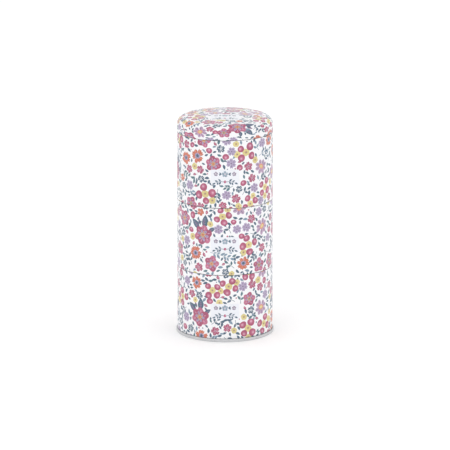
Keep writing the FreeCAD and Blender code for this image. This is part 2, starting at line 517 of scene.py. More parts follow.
def rosette(art, at, size, turn, heart="coral"):
    """Large flower of six lobed petals with lilac inner petals."""
    art.layer = FLOWERS
    petals = 6 if size > 13 else 5
    wild = art.random.uniform
    order = list(range(petals))
    for number in order[::2] + order[1::2]:
        angle = turn + math.tau * (number + wild(-0.07, 0.07)) / petals
        name = "rose" if number % 2 else "rose_light"
        centre = at + polar(angle, wild(0.27, 0.31) * size)
        art.blob(centre, wild(0.2, 0.235) * size, name, lobes=3, depth=0.15, turn=angle, stretch=0.95)
    art.blob(at, 0.24 * size, "rose", lobes=petals, depth=0.25, turn=turn)
    for angle, side in zip(around(petals, turn, 0.5), around(petals, turn)):
        art.petal(at + polar(angle, 0.08 * size), angle, wild(0.2, 0.27) * size, 0.13 * size, "lilac")
        streak(art, at, size, angle, 0.13, 0.15, 0.035, "lilac_deep")
        streak(art, at, size, side, 0.24, 0.16, 0.04, "rose_pale")
        base = at + polar(side + 0.25, 0.3 * size)
        art.petal(base, side, 0.12 * size, 0.03 * size, "plum", "pointed")
    art.blob(at, 0.115 * size, "butter_deep", lobes=petals, depth=0.2, turn=turn)
    art.blob(at, 0.06 * size, heart)
    for angle in around(petals, turn):
        art.blob(at + polar(angle, 0.155 * size), 0.022 * size, "butter", points=6)


def daisy(art, at, size, turn, petal_ink="coral", second_ink="coral_light"):
    """Daisy of eight broad notched petals round a lilac ring and a slate heart."""
    art.layer = FLOWERS
    petals = 8
    for number in range(petals):
        angle = turn + math.tau * (number + art.random.uniform(-0.16, 0.16)) / petals
        reach = 0.5 * size * art.random.uniform(0.84, 1.08)
        base = at + polar(angle, 0.06 * size)
        width = art.random.uniform(0.23, 0.29) * size
        art.petal(base, angle, reach - 0.06 * size, width, petal_ink, "notched")
        streak(art, at, size, angle, 0.22, 0.17, 0.06, second_ink)
    art.blob(at, 0.2 * size, "lilac", lobes=petals, depth=0.12, turn=turn)
    art.blob(at, 0.105 * size, "slate")
    for angle in around(5, turn):
        art.blob(at + polar(angle, 0.145 * size), 0.022 * size, "slate", points=6)


def long_daisy(art, at, size, turn):
    """Lilac daisy with broad petals and a warm oval heart."""
    art.layer = FLOWERS
    petals = 8
    for number in range(petals):
        angle = turn + math.tau * (number + art.random.uniform(-0.12, 0.12)) / petals
        reach = 0.5 * size * art.random.uniform(0.86, 1.06)
        base = at + polar(angle, 0.07 * size)
        art.petal(base, angle, reach - 0.07 * size, 0.235 * size, "lilac_rosy")
        streak(art, at, size, angle, 0.18, 0.24, 0.05, "lilac_deep")
    art.blob(at, 0.15 * size, "coral_light", stretch=1.3, turn=turn)
    art.blob(at, 0.085 * size, "butter", stretch=1.35, turn=turn)


def blossom(art, at, size, turn, petal_ink="rose", streak_ink="rose_pale", heart="slate"):
    """Small blossom of five round petals with a streak on each."""
    art.layer = max(art.layer, FLOWERS)
    for angle in around(5, turn):
        base = at + polar(angle, 0.04 * size)
        art.petal(base, angle, 0.46 * size, 0.37 * size, petal_ink, "notched")
    for angle in around(5, turn):
        streak(art, at, size, angle, 0.14, 0.22, 0.06, streak_ink)
    art.blob(at, 0.13 * size, streak_ink, points=8)
    art.blob(at, 0.065 * size, heart, points=7)


def streaked_blossom(art, at, size, turn):
    """Lilac blossom of six petals with three streaks on each."""
    art.layer = FLOWERS
    for angle in around(6, turn):
        base = at + polar(angle, 0.04 * size)
        art.petal(base, angle, 0.46 * size, 0.33 * size, "lilac", "notched", 1.0)
    for angle in around(6, turn):
        for spread in (-0.22, 0.0, 0.22):
            base = at + polar(angle + spread * 0.6, 0.17 * size)
            art.petal(base, angle + spread, 0.22 * size, 0.032 * size, "lilac_deep", "pointed", 1.0)
    art.blob(at, 0.085 * size, "lilac_deep", points=8)


def berry(art, at, size, turn):
    """Round berry with a pale heart."""
    art.layer = max(art.layer, FLOWERS)
    art.blob(at, 0.5 * size, "rose", stretch=0.92, turn=turn)
    heart = at + polar(turn + 0.6, 0.08 * size)
    art.blob(heart, 0.29 * size, "rose_light", stretch=0.9, turn=turn)
    art.blob(heart + polar(turn, 0.03 * size), 0.14 * size, "rose_pale", points=8)


def bud(art, at, size, turn):
    """Drop-shaped bud on a short stalk."""
    art.layer = FLOWERS
    art.petal(at - polar(turn, size / 2), turn, size, 0.62 * size, "rose", "pointed")
    art.petal(at - polar(turn, size / 5), turn, 0.5 * size, 0.16 * size, "rose_pale", "pointed")
    art.layer = LEAVES
    art.stroke([at - polar(turn, share * size) for share in (0.4, 0.7, 1.0)], 0.4, "slate")


def bloom(art, at, size, turn):
    """Soft yellow bloom, often half under its neighbours."""
    art.layer = BLOOMS
    art.blob(at, 0.5 * size, "butter", lobes=5, depth=0.14, turn=turn)
    art.blob(at, 0.2 * size, "butter_deep", lobes=5, depth=0.2, turn=turn)
    art.blob(at, 0.09 * size, "lilac_deep", points=8)


def leaf(art, base, heading, size, name="teal", width=0.48):
    """Small almond leaf."""
    art.petal(base, heading, size, width * size, name, "pointed")


def big_leaf(art, base, heading, size):
    """Large pointed leaf with a plum rib."""
    art.petal(base, heading, size, 0.52 * size, "slate", "pointed", 1.0)
    art.petal(base + polar(heading, 0.06 * size), heading, 0.7 * size, 0.17 * size, "plum", "pointed")
    for share in (0.3, 0.48, 0.64):
        for side in (1, -1):
            start = base + polar(heading, share * size)
            art.petal(start, heading + side * 0.7, 0.19 * size, 0.04 * size, "slate_light", "pointed")


def bough(art, base, heading, size, bow, leaf_ink, leaf_size, pace=2.9):
    """Curved stem with leaves on both sides, one pair at each pace."""
    steps = max(2, round(size / pace))
    points = []
    for number in range(steps + 1):
        share = number / steps
        points.append(base + polar(heading + bow * share, size * share))
    art.stroke(points, 0.42, leaf_ink)
    for number in range(1, steps):
        forward = points[number + 1] - points[number]
        angle = math.atan2(forward.y, forward.x)
        side = 1 if number % 2 else -1
        reach = leaf_size * (1.12 - 0.3 * number / steps)
        gap = polar(angle + side * 1.1, 0.35)
        leaf(art, points[number] + gap, angle + side * 0.75, reach, leaf_ink)
        if number % 3:
            gap = polar(angle - side * 1.1, 0.35)
            leaf(art, points[number] + gap, angle - side * 0.85, reach * 0.9, leaf_ink)
    end = points[-1] - points[-2]
    leaf(art, points[-1], math.atan2(end.y, end.x), leaf_size, leaf_ink)


def bouquet_discs(at, size, turn):
    """Room that a rosette with its large leaves takes."""
    discs = [(at.x, at.y, 0.5 * size)]
    for spread in (0.12, 0.95):
        tip = at + polar(turn + spread, 0.74 * size)
        discs.append((tip.x, tip.y, 0.2 * size))
    return discs


def bouquet(art, at, size, turn):
    """Rosette with large leaves tucked behind it."""
    art.layer = LEAVES
    for spread, reach in ((0.12, 0.66), (0.95, 0.6), (-0.75, 0.4)):
        big_leaf(art, at + polar(turn + spread, 0.36 * size), turn + spread, reach * size)
    leaf(art, at + polar(turn + 0.52, 0.5 * size), turn + 0.55, 0.32 * size, "plum", 0.4)
    rosette(art, at, size, turn)


def berries(art, at, size, turn):
    """Loose bunch of berries over yellow blooms."""
    bloom(art, at, 0.42 * size, turn)
    for number in range(4):
        angle = turn + number * 1.52 + art.random.uniform(-0.15, 0.15)
        spot = at + polar(angle, 0.37 * size * art.random.uniform(0.92, 1.08))
        berry(art, spot, size * art.random.uniform(0.36, 0.44), angle)
        if number == 2:
            bloom(art, at + polar(angle + 0.75, 0.5 * size), 0.38 * size, turn)


def motif_table():
    """The scattered motifs in the order of drawing.

    Each row is the drawing function, the smallest and largest size, how many there are on 1000 mm2
    and how far a motif may overlap its neighbours.
    """
    def plain(draw, **inks):
        return lambda art, at, size, turn: draw(art, at, size, turn, **inks)

    coral_blossom = plain(blossom, petal_ink="coral", streak_ink="coral_light", heart="lilac")
    slate_blossom = plain(blossom, petal_ink="slate", streak_ink="ground")
    return [
        (plain(rosette, heart="slate"), 11.5, 13.5, 0.3, 0.4),
        (daisy, 11.0, 12.5, 0.28, 0.4),
        (long_daisy, 12.5, 14.5, 0.3, 0.5),
        (berries, 13.0, 15.5, 0.26, 1.0),
        (streaked_blossom, 7.6, 9.0, 1.6, 0.3),
        (blossom, 7.0, 8.4, 1.15, 0.3),
        (coral_blossom, 6.4, 7.8, 0.25, 0.3),
        (slate_blossom, 5.8, 7.0, 1.4, 0.3),
    ]


def small_motif_table():
    """The small motifs that go in after the leafy stems, in the same form."""
    return [
        (berry, 4.6, 6.2, 1.2, 0.3),
        (bloom, 4.8, 6.2, 1.5, 1.0),
        (bud, 3.2, 4.0, 0.9, 0.1),
    ]


def scatter(art, spot, area, draw, least, most, density, overlap, tries=70):
    """Draws motifs where there is room; spot gives a place on the sheet."""
    for _ in range(round(area * density / 1000)):
        for _ in range(tries):
            at, size = spot(art.random), art.random.uniform(least, most)
            disc = [(at.x, at.y, 0.5 * size + 0.1)]
            if art.free(disc, overlap):
                art.take(disc)
                art.middle = at
                draw(art, at, size, art.random.uniform(0, math.tau))
                break


def scatter_boughs(art, spot, area, density, shortest, longest, tries=60):
    """Draws leafy stems where there is room for their whole length."""
    for _ in range(round(area * density / 1000)):
        for _ in range(tries):
            base, heading = spot(art.random), art.random.uniform(0, math.tau)
            size, bow = art.random.uniform(shortest, longest), art.random.uniform(-0.7, 0.7)
            discs = []
            steps = round(size / 2.6)
            for number in range(steps + 1):
                share = number / steps
                at = base + polar(heading + bow * share, size * share)
                discs.append((at.x, at.y, 2.2))
            if art.free(discs, 0.5):
                art.take(discs)
                art.layer, art.middle = LEAVES, base + polar(heading, size / 2)
                bough(art, base, heading, size, bow, art.random.choice(BOUGH_INKS), 4.1)
                break


BOUGH_INKS = ("slate", "teal", "slate", "slate_light")
LOOSE_LEAF_INKS = ("slate", "slate", "teal", "slate_light", "slate")


def fill_with_leaves(art, spot, area):
    """Fills what is left with loose leaves and dots."""
    art.layer = LEAVES
    for _ in range(round(area * 0.5)):
        at, heading = spot(art.random), art.random.uniform(0, math.tau)
        size = art.random.uniform(3.2, 4.7)
        middle = at + polar(heading, size / 2)
        disc = [(middle.x, middle.y, 0.34 * size)]
        if art.free(disc, 0.35):
            art.take(disc)
            art.middle = middle
            leaf(art, at, heading, size, art.random.choice(LOOSE_LEAF_INKS))
    for _ in range(round(area * 0.12)):
        at, size = spot(art.random), art.random.uniform(0.5, 0.85)
        disc = [(at.x, at.y, size + 0.2)]
        if art.free(disc):
            art.take(disc)
            art.middle = at
            art.blob(at, size, art.random.choice(("rose", "rose_light", "slate")), points=8)


def label(art, centre, high):
    """Plain panel with a small posy over a leafy garland in place of lettering."""
    art.layer, art.middle = LABELS, centre
    wide, corner = print_size("label_width"), 0.8
    outline = []
    for number, (right, up) in enumerate(((1, 1), (-1, 1), (-1, -1), (1, -1))):
        pivot = centre + Vector((right * (wide / 2 - corner), up * (high / 2 - corner)))
        turns = [math.radians(90 * number + step) for step in (0, 30, 60, 90)]
        outline += [pivot + polar(angle, corner) for angle in turns]
    art.shape(outline, "label_ground", 1.0)
    upper = centre + Vector((0, 0.22 * high))
    blossom(art, upper, 5.2, math.pi / 2, "slate_light", "label_ground", "rose_light")
    inks = ("lilac_deep", "label_ground", "butter_deep")
    for side, heading in ((1, 0.0), (-1, math.pi)):
        for spread in (-0.55, 0.0, 0.55):
            leaf(art, upper + Vector((side * 2.7, 0)), heading + spread, 2.5, "slate", 0.36)
        blossom(art, upper + Vector((side * 7.4, 0)), 3.7, math.pi / 2, *inks)
    lower = centre + Vector((0, -0.2 * high))
    for side, heading in ((1, 0.28), (-1, math.pi - 0.28)):
        start = lower + Vector((side * 0.9, -1.1))
        bough(art, start, heading, 7.0, -0.42 * side, "slate", 2.9, 2.3)
    berry(art, lower - Vector((0, 1.0)), 2.3, 0.0)


# Main flowers of each wall: kind, place round the wall from the front and above the lower edge,
# size and turn. Degrees for the turn, millimetres for the rest.
MAIN_FLOWERS = {
    "bottom": [
        ("bouquet", -21.5, 19.5, 16.0, 80),
        ("daisy", -20.0, 4.0, 11.5, 20),
        ("long_daisy", 33.0, 26.0, 14.5, 15),
        ("daisy", -24.5, 48.0, 11.0, 40),
        ("berries", 19.5, 10.5, 15.5, 60),
        ("bouquet", 62.0, 34.0, 16.0, 200),
        ("bouquet", -63.0, 18.0, 16.5, 30),
        ("bouquet", 101.0, 20.0, 16.0, 300),
        ("bouquet", -103.0, 38.0, 15.5, 80),
        ("berries", 3.0, 46.5, 14.5, 160),
        ("berries", -42.0, 33.0, 14.0, 10),
    ],
    "middle": [
        ("bouquet", -18.5, 33.0, 16.5, 75),
        ("daisy", -25.5, 17.0, 12.5, 5),
        ("rosette", -11.0, 9.5, 13.0, 70),
        ("long_daisy", 34.0, 38.0, 14.5, 40),
        ("berries", 20.0, 24.5, 15.0, 20),
        ("bouquet", 70.0, 20.0, 16.0, 260),
        ("bouquet", -66.0, 40.0, 15.5, 150),
        ("bouquet", 108.0, 40.0, 16.0, 20),
        ("bouquet", -105.0, 16.0, 15.5, 330),
        ("berries", -2.0, 49.0, 14.0, 200),
        ("rosette", -38.5, 44.0, 13.5, 10),
    ],
    "top": [
        ("daisy", -23.5, 42.0, 13.0, 25),
        ("rosette", -9.5, 36.5, 13.5, 40),
        ("berries", -16.5, 11.5, 16.0, 100),
        ("berries", 17.5, 45.5, 15.5, 330),
        ("long_daisy", 52.0, 24.0, 14.5, 10),
        ("bouquet", -56.0, 24.0, 16.0, 60),
        ("bouquet", 74.0, 36.0, 16.0, 170),
        ("bouquet", -98.0, 36.0, 15.5, 250),
        ("bouquet", 110.0, 14.0, 16.0, 100),
        ("rosette", -17.5, 55.5, 13.0, 0),
        ("berries", 38.0, 14.0, 14.5, 60),
    ],
}
LID_FLOWERS = [
    ("bouquet", 10.0, -35.5, 16.5, 340),
    ("daisy", -27.0, 10.0, 12.5, 10),
    ("rosette", -13.0, -26.0, 12.5, 30),
    ("bouquet", 8.0, 24.0, 16.0, 80),
    ("long_daisy", 26.0, 6.0, 14.5, 50),
    ("bouquet", -36.0, -33.0, 15.5, 200),
    ("daisy", -13.0, 19.0, 12.0, 35),
    ("berries", 27.0, -15.0, 14.5, 240),
    ("bouquet", 44.0, 8.0, 15.0, 270),
    ("bouquet", -34.0, 29.0, 16.0, 120),
    ("berries", -24.0, -11.0, 14.5, 160),
    ("daisy", 33.0, -37.0, 12.0, 0),
]
DRAW_MAIN = {
    "bouquet": bouquet,
    "daisy": daisy,
    "rosette": rosette,
    "long_daisy": long_daisy,
    "berries": berries,
}


def compose(art, main_flowers, label_at, label_high, spot, area, foot=0.0, fullness=1.0):
    """Draws the whole sheet: the main flowers, what is scattered round them, then the label."""
    wide, high = print_size("label_width"), label_high
    for across in (-0.36, -0.12, 0.12, 0.36):
        art.take([(label_at.x + across * wide, label_at.y, 0.43 * high)])
    for kind, x, y, size, degrees in main_flowers:
        at, turn = Vector((x, y + foot)), math.radians(degrees)
        art.middle = at
        art.take(bouquet_discs(at, size, turn) if kind == "bouquet" else [(at.x, at.y, 0.5 * size)])
        DRAW_MAIN[kind](art, at, size, turn)
    area *= fullness
    for row in motif_table():
        scatter(art, spot, area, *row)
    scatter_boughs(art, spot, area, 2.6, 10.5, 17.0)
    scatter_boughs(art, spot, area, 3.2, 5.5, 9.0)
    for row in small_motif_table():
        scatter(art, spot, area, *row)
    fill_with_leaves(art, spot, area)
    label(art, label_at, label_high)


# ---- printed sheets made to shape -----------------------------------------------------------
SEAM_HALF_WIDTH = 2.0      # half the width of the folded lock seam inside a wall's back
SEAM_RELIEF = 1.0          # room left between the lock seam and the pieces above and below it
GROOVE_HALF_WIDTH = 0.36   # half the width of the groove that it leaves outside
PRINT_MARGIN = 0.9         # plain margin of the print beside the lock seam
PRINTED, INSIDE, SHADED_FOLDS = range(3)      # material slots of a printed piece; the folds' slot is bare tinplate painted dark as shade
BARE = (0.7, 0.7, 0.7)


class Skin:
    """Gathers a printed piece's faces with their slots, colours, places on the map and normals."""

    def __init__(self, points):
        self.points = points
        self.rows = []

    def add(self, faces, slots, colours, maps, normals):
        """Adds faces of one corner count; slots and colours go by face, the others by corner."""
        faces = np.asarray(faces)
        slots = np.broadcast_to(slots, len(faces))
        colours = np.broadcast_to(colours, (len(faces), 3))
        maps = np.broadcast_to(maps, (*faces.shape, 2))
        normals = np.broadcast_to(normals, (*faces.shape, 3))
        self.rows.append((faces, slots, colours, maps, normals))

    def build(self, name, materials):
        """Makes the mesh object."""
        corners = np.concatenate([faces.ravel() for faces, *_ in self.rows])
        sizes = np.concatenate([np.full(len(faces), faces.shape[1]) for faces, *_ in self.rows])
        used, corners = np.unique(corners, return_inverse=True)
        mesh = bpy.data.meshes.new(name)
        mesh.vertices.add(len(used))
        mesh.vertices.foreach_set("co", (self.points[used] * MM).ravel())
        mesh.loops.add(len(corners))
        mesh.loops.foreach_set("vertex_index", corners.astype(np.int32))
        mesh.polygons.add(len(sizes))
        mesh.polygons.foreach_set("loop_start", (np.cumsum(sizes) - sizes).astype(np.int32))
        mesh.polygons.foreach_set("loop_total", sizes.astype(np.int32))
        for material in materials:
            mesh.materials.append(material)
        slots = np.concatenate([row[1] for row in self.rows]).astype(np.int32)
        mesh.polygons.foreach_set("material_index", slots)
        mesh.polygons.foreach_set("use_smooth", np.ones(len(sizes), dtype=bool))
        shown = np.repeat(np.concatenate([row[2] for row in self.rows]), sizes, axis=0)
        layer = mesh.color_attributes.new("ink", "FLOAT_COLOR", "CORNER")
        shown = np.c_[shown, np.ones(len(shown))].astype(np.float32)
        layer.data.foreach_set("color", shown.ravel())
        maps = np.concatenate([row[3].reshape(-1, 2) for row in self.rows])
        mesh.uv_layers.new(name="OFBake").data.foreach_set("uv", maps.astype(np.float32).ravel())
        mesh.update(calc_edges=True)
        normals = np.concatenate([row[4].reshape(-1, 3) for row in self.rows])
        mesh.normals_split_custom_set(normals.tolist())
        piece = bpy.data.objects.new(name, mesh)
        bpy.context.scene.collection.objects.link(piece)
        return piece


def unit(vectors):
    """Vectors of length one."""
    return vectors / np.maximum(np.linalg.norm(vectors, axis=-1, keepdims=True), 1e-12)


def flat_normals(points, faces):
    """Normals of flat faces, one for each corner."""
    corners = points[faces]
    normals = unit(np.cross(corners[:, 2] - corners[:, 0], corners[:, -1] - corners[:, 1]))
    return np.repeat(normals[:, None], faces.shape[1], axis=1)


def face_points(stations, distances):
    """Radii, heights and normals of the printed face at distances along it."""
    along = [s.along for s in stations]
    rows = ([s.face.x for s in stations], [s.face.y for s in stations])
    rows += ([s.normal.x for s in stations], [s.normal.y for s in stations])
    return [np.interp(distances, along, row) for row in rows]


def triangulate(points, ground, lines, art):
    """Cuts the flat sheet into triangles along every drawn edge.

    ground is the sheet's outline and lines are cuts right across it, as indices into points.
    Returns the corners, the triangles, their colours and where each given point went.
    """
    corners = [Vector(point) for point in points]
    faces = [ground]
    drawn = sorted(art.shapes, key=lambda shape: shape[0])
    for _, outline, _ in drawn:
        faces.append(list(range(len(corners), len(corners) + len(outline))))
        corners.extend(outline)
    edges = [pair for line in lines for pair in zip(line, line[1:])]
    made = delaunay_2d_cdt(corners, edges, faces, 1, 1e-4, True)
    new_corners, _, triangles, came_from, _, over = made
    inks = np.array([tuple(art.inks.ground)] + [colour for _, _, colour in drawn])
    place = {}
    for number, sources in enumerate(came_from):
        for source in sources:
            place[source] = number
    shown = inks[[max(shapes) if shapes else 0 for shapes in over]]
    flat = np.array([tuple(corner) for corner in new_corners])
    return flat, np.array(triangles), shown, place


def bends_at(stations, row):
    """Whether the sheet bends tightly at that station."""
    before, after = stations[row - 1].normal, stations[row + 1].normal
    return before.dot(after) < math.cos(math.radians(3))


def wall_columns(girth):
    """Places round a wall at which its grid is divided, closer at the lock seam."""
    regular = [-girth / 2 + girth * number / COLUMNS for number in range(COLUMNS + 1)]
    near = [0.12, 0.24, 0.36, SEAM_HALF_WIDTH - 0.12, SEAM_HALF_WIDTH]
    extra = [side * (girth / 2 - distance) for side in (1, -1) for distance in near]
    ends = girth / 2 - 1e-6
    clear = [p for p in regular if abs(p) < ends and min(abs(p - e) for e in extra) > 0.25]
    kept = [regular[0], *clear, regular[-1]]
    return sorted(kept + extra)


def groove(across, heights, girth):
    """Depth of the groove over the lock seam, and its slope round the wall."""
    depth = sheet_size("groove_depth")
    share = np.clip((girth / 2 - np.abs(across)) / GROOVE_HALF_WIDTH, 0, 1)
    ends = np.clip(np.minimum(heights - 1.2, WALL_TOP - 0.8 - heights) / 0.6, 0, 1)
    level = depth * (1 + np.cos(np.pi * share)) / 2 * ends
    slope = depth * np.pi / 2 / GROOVE_HALF_WIDTH * np.sin(np.pi * share) * ends
    return level, slope * np.sign(across)


def wall_map(points, girth, height):
    """Places on the map of flat corners by triangle: four quarters of the wall, two by two."""
    turns = np.floor(points[:, :, 0].mean(axis=1) / girth * 4 + 0.5)
    panels = np.where(np.abs(turns) == 2, 3, turns + 1)[:, None]
    scale = 0.46 / max(girth / 4, height)
    across = points[:, :, 0] - turns[:, None] * girth / 4
    right = 0.25 + 0.5 * (panels % 2) + across * scale
    up = 0.235 + 0.465 * (panels // 2) + (points[:, :, 1] - height / 2) * scale * 0.985
    return np.stack([right, up], axis=-1)


def form_wall(name, stations, art, print_ends, seam_ends, foot, materials):
    """Rolls the printed sheet into a wall whose ends meet at the back, and gives it its inside."""
    girth = math.tau * OUTER_RADIUS
    columns = wall_columns(girth)
    last_column, last_row = len(columns) - 1, len(stations) - 1
    width = last_column + 1
    points = [(across, station.along) for station in stations for across in columns]
    rows = [[row * width + column for column in range(width)] for row in range(last_row + 1)]
    right, left = [row[-1] for row in rows[1:]], [row[0] for row in rows[-2:0:-1]]
    ground = rows[0] + right + rows[-1][-2::-1] + left
    inner_rows = range(1, last_row)
    cuts = [n for n in inner_rows if bends_at(stations, n) or stations[n].along in print_ends]
    quarters = [girth * share for share in (-0.375, -0.125, 0.125, 0.375)]
    nearest = [min(range(width), key=lambda c: abs(columns[c] - place)) for place in quarters]
    lines = [rows[row] for row in cuts] + [[row[column] for row in rows] for column in nearest]
    flat, triangles, shown, place = triangulate(points, ground, lines, art)

    radii, heights, out, up = face_points(stations, flat[:, 1])
    depth, slope = groove(flat[:, 0], heights, girth)
    radii = radii - depth * out
    angles = flat[:, 0] / OUTER_RADIUS
    sines, cosines = np.sin(angles), np.cos(angles)
    outside = np.c_[radii * sines, -radii * cosines, heights + foot]
    outside_normals = unit(np.c_[out * (sines + slope * cosines), out * (slope * sines - cosines), up])

    # the inside is a plain grid with the folded lock seam standing out of it
    across, back = np.array(columns[:-1]), np.array([tuple(s.back) for s in stations])
    facing = np.array([tuple(s.normal) for s in stations])
    in_seam = (girth / 2 - np.abs(across) < SEAM_HALF_WIDTH - 0.06)[None]
    beside_seam = (back[:, 1] >= seam_ends[0]) & (back[:, 1] <= seam_ends[1])
    in_seam = in_seam & ((facing[:, 0] > 0.9) & beside_seam)[:, None]
    inner = back[:, :1] - in_seam * 2 * (sheet_size("gauge") + sheet_size("layer_gap"))
    sines, cosines = np.sin(across / OUTER_RADIUS)[None], np.cos(across / OUTER_RADIUS)[None]
    level = np.broadcast_to(back[:, 1:] + foot, inner.shape)
    inside = np.stack([inner * sines, -inner * cosines, level], axis=-1)
    turn_up = np.broadcast_to(-facing[:, 1:], inner.shape)
    inside_normals = np.stack([-facing[:, :1] * sines, facing[:, :1] * cosines, turn_up], axis=-1)
    inside_normals = inside_normals.reshape(-1, 3)

    skin = Skin(np.vstack([outside, inside.reshape(-1, 3)]))
    same = np.arange(len(skin.points))
    for row in rows:
        same[place[row[-1]]] = place[row[0]]
    middles = flat[triangles].mean(axis=1)[:, 1]
    # faces beyond the print go to the bare folds, whose material paints the seam's shade in near black
    slots = np.where((middles > print_ends[0]) & (middles < print_ends[1]), PRINTED, SHADED_FOLDS)
    maps = wall_map(flat[triangles], girth, stations[-1].along)
    skin.add(same[triangles], slots, shown, maps, outside_normals[triangles])

    base = len(outside)
    row, column = [grid.ravel() for grid in np.mgrid[0:last_row, 0:last_column]]
    after = (column + 1) % last_column
    low, high = base + row * last_column, base + (row + 1) * last_column
    faces = np.stack([low + column, high + column, high + after, low + after], axis=1)
    level = in_seam.ravel()[faces - base]
    stepped = (level.any(axis=1) & ~level.all(axis=1))[:, None, None]
    normals = np.where(stepped, flat_normals(skin.points, faces), inside_normals[faces - base])
    right = 0.01 + 0.98 * (column[:, None] + np.array([0, 0, 1, 1])) / last_column
    rise = 0.945 + 0.05 * (row[:, None] + np.array([0, 1, 1, 0])) / last_row
    skin.add(faces, INSIDE, BARE, np.stack([right, rise], axis=-1), normals)

    column = np.arange(last_column)
    after = (column + 1) % last_column
    for row, flip in ((0, False), (last_row, True)):
        outer = np.array([same[place[corner]] for corner in rows[row]])
        inner = base + row * last_column
        faces = np.stack([outer[:-1], inner + column, inner + after, outer[1:]], axis=1)
        faces = faces[:, ::-1] if flip else faces
        skin.add(faces, INSIDE, BARE, (0.004, 0.935), flat_normals(skin.points, faces))
    return skin.build(name, materials)


def form_lid(name, stations, art, print_end, foot, materials):
    """Draws the printed disc into the lid and gives it its inside."""
    rim, last_row = stations[-1].along, len(stations) - 1
    points, rings = [(0.0, 0.0)], []
    for row, station in enumerate(stations[1:], start=1):
        dense = station.along > 0.7 * OUTER_RADIUS
        count = COLUMNS if dense else max(12, round(math.tau * station.along / 2.6))
        ring = list(range(len(points), len(points) + count))
        points += [tuple(polar(angle, station.along)) for angle in around(count, -math.pi / 2)]
        if dense:
            rings.append(ring + ring[:1])
    flat, triangles, shown, place = triangulate(points, rings[-1][:-1], rings[:-1], art)

    reach = np.hypot(flat[:, 0], flat[:, 1])
    spoke = flat / np.maximum(reach, 1e-9)[:, None]
    radii, heights, out, up = face_points(stations, reach)
    outside = np.c_[spoke * radii[:, None], heights + foot]
    outside_normals = unit(np.c_[spoke * out[:, None], up])

    turns = np.arange(COLUMNS) * math.tau / COLUMNS - math.pi / 2
    spokes = np.stack([np.cos(turns), np.sin(turns)], axis=-1)[None]
    back = np.array([tuple(s.back) for s in stations[1:]])[:, None]
    facing = np.array([tuple(s.normal) for s in stations[1:]])[:, None]
    level = np.broadcast_to(back[..., 1:] + foot, (last_row, COLUMNS, 1))
    inside = np.concatenate([spokes * back[..., :1], level], axis=-1).reshape(-1, 3)
    turn_up = np.broadcast_to(-facing[..., 1:], (last_row, COLUMNS, 1))
    inside_normals = np.concatenate([-spokes * facing[..., :1], turn_up], axis=-1).reshape(-1, 3)
    centre = (0, 0, stations[0].back.y + foot)
    skin = Skin(np.vstack([outside, [centre], inside]))

    middles = np.linalg.norm(flat[triangles].mean(axis=1), axis=1)
    # faces beyond the print go to the bare curl, whose material paints the shade under the lid in near
    # black
    slots = np.where(middles < print_end, PRINTED, SHADED_FOLDS)
    skin.add(triangles, slots, shown, 0.5 + flat[triangles] * 0.47 / rim, outside_normals[triangles])

    def corner_map(faces):
        """Small disc in the corner of the map for the bare inside."""
        number = faces - first
        share = np.array([s.along for s in stations[1:]])[number // COLUMNS] / rim
        share = np.where(number < 0, 0, share)[..., None]
        return 0.075 + 0.07 * share * spokes[0][number % COLUMNS]

    hub, first = len(outside), len(outside) + 1
    column = np.arange(COLUMNS)
    after = (column + 1) % COLUMNS
    faces = np.stack([np.full(COLUMNS, hub), first + after, first + column], axis=1)
    with_hub = np.vstack([inside_normals, [(0, 0, -1)]])
    hub_normals = with_hub[np.where(faces == hub, -1, faces - first)]
    skin.add(faces, INSIDE, BARE, corner_map(faces), hub_normals)
    row, column = [grid.ravel() for grid in np.mgrid[0:last_row - 1, 0:COLUMNS]]
    after = (column + 1) % COLUMNS
    low, high = first + row * COLUMNS, first + (row + 1) * COLUMNS
    faces = np.stack([low + column, low + after, high + after, high + column], axis=1)
    skin.add(faces, INSIDE, BARE, corner_map(faces), inside_normals[faces - first])

    outer = np.array([place[corner] for corner in rings[-1]])
    column = np.arange(COLUMNS)
    inner = first + (last_row - 1) * COLUMNS
    faces = np.stack([outer[:-1], inner + column, inner + (column + 1) % COLUMNS, outer[1:]], axis=1)
    skin.add(faces, INSIDE, BARE, (0.002, 0.002), flat_normals(skin.points, faces))
    return skin.build(name, materials)


# ---- bare pieces, spun from their sections --------------------------------------------------
def make_active(piece):
    """Selects only this piece."""
    bpy.ops.object.select_all(action="DESELECT")
    piece.select_set(True)
    bpy.context.view_layer.objects.active = piece


def spin_piece(name, stations, foot, materials):
    """Spins the section's centre-line round the axis and gives it the sheet's thickness."""
    mesh = bpy.data.meshes.new(name)
    chain = [(0.0, -s.centre.x * MM, (s.centre.y + foot) * MM) for s in stations]
    mesh.from_pydata(chain, [(n, n + 1) for n in range(len(chain) - 1)], [])
    piece = bpy.data.objects.new(name, mesh)
    bpy.context.scene.collection.objects.link(piece)
    make_active(piece)
    bpy.ops.object.mode_set(mode="EDIT")
    bpy.ops.mesh.select_all(action="SELECT")
    bpy.ops.mesh.spin(steps=COLUMNS, angle=math.tau, center=(0, 0, 0), axis=(0, 0, 1))
    bpy.ops.mesh.select_all(action="SELECT")
    bpy.ops.mesh.remove_doubles(threshold=2e-6)
    bpy.ops.mesh.normals_make_consistent(inside=False)
    bpy.ops.object.mode_set(mode="OBJECT")
    thicken = piece.modifiers.new("gauge", "SOLIDIFY")
    thicken.thickness = sheet_size("gauge") * MM
    thicken.offset = 0
    thicken.use_even_offset = True
    bpy.ops.object.modifier_apply(modifier=thicken.name)
    for material in materials:
        piece.data.materials.append(material)
    bpy.ops.object.shade_smooth_by_angle(angle=math.radians(40))
    return piece


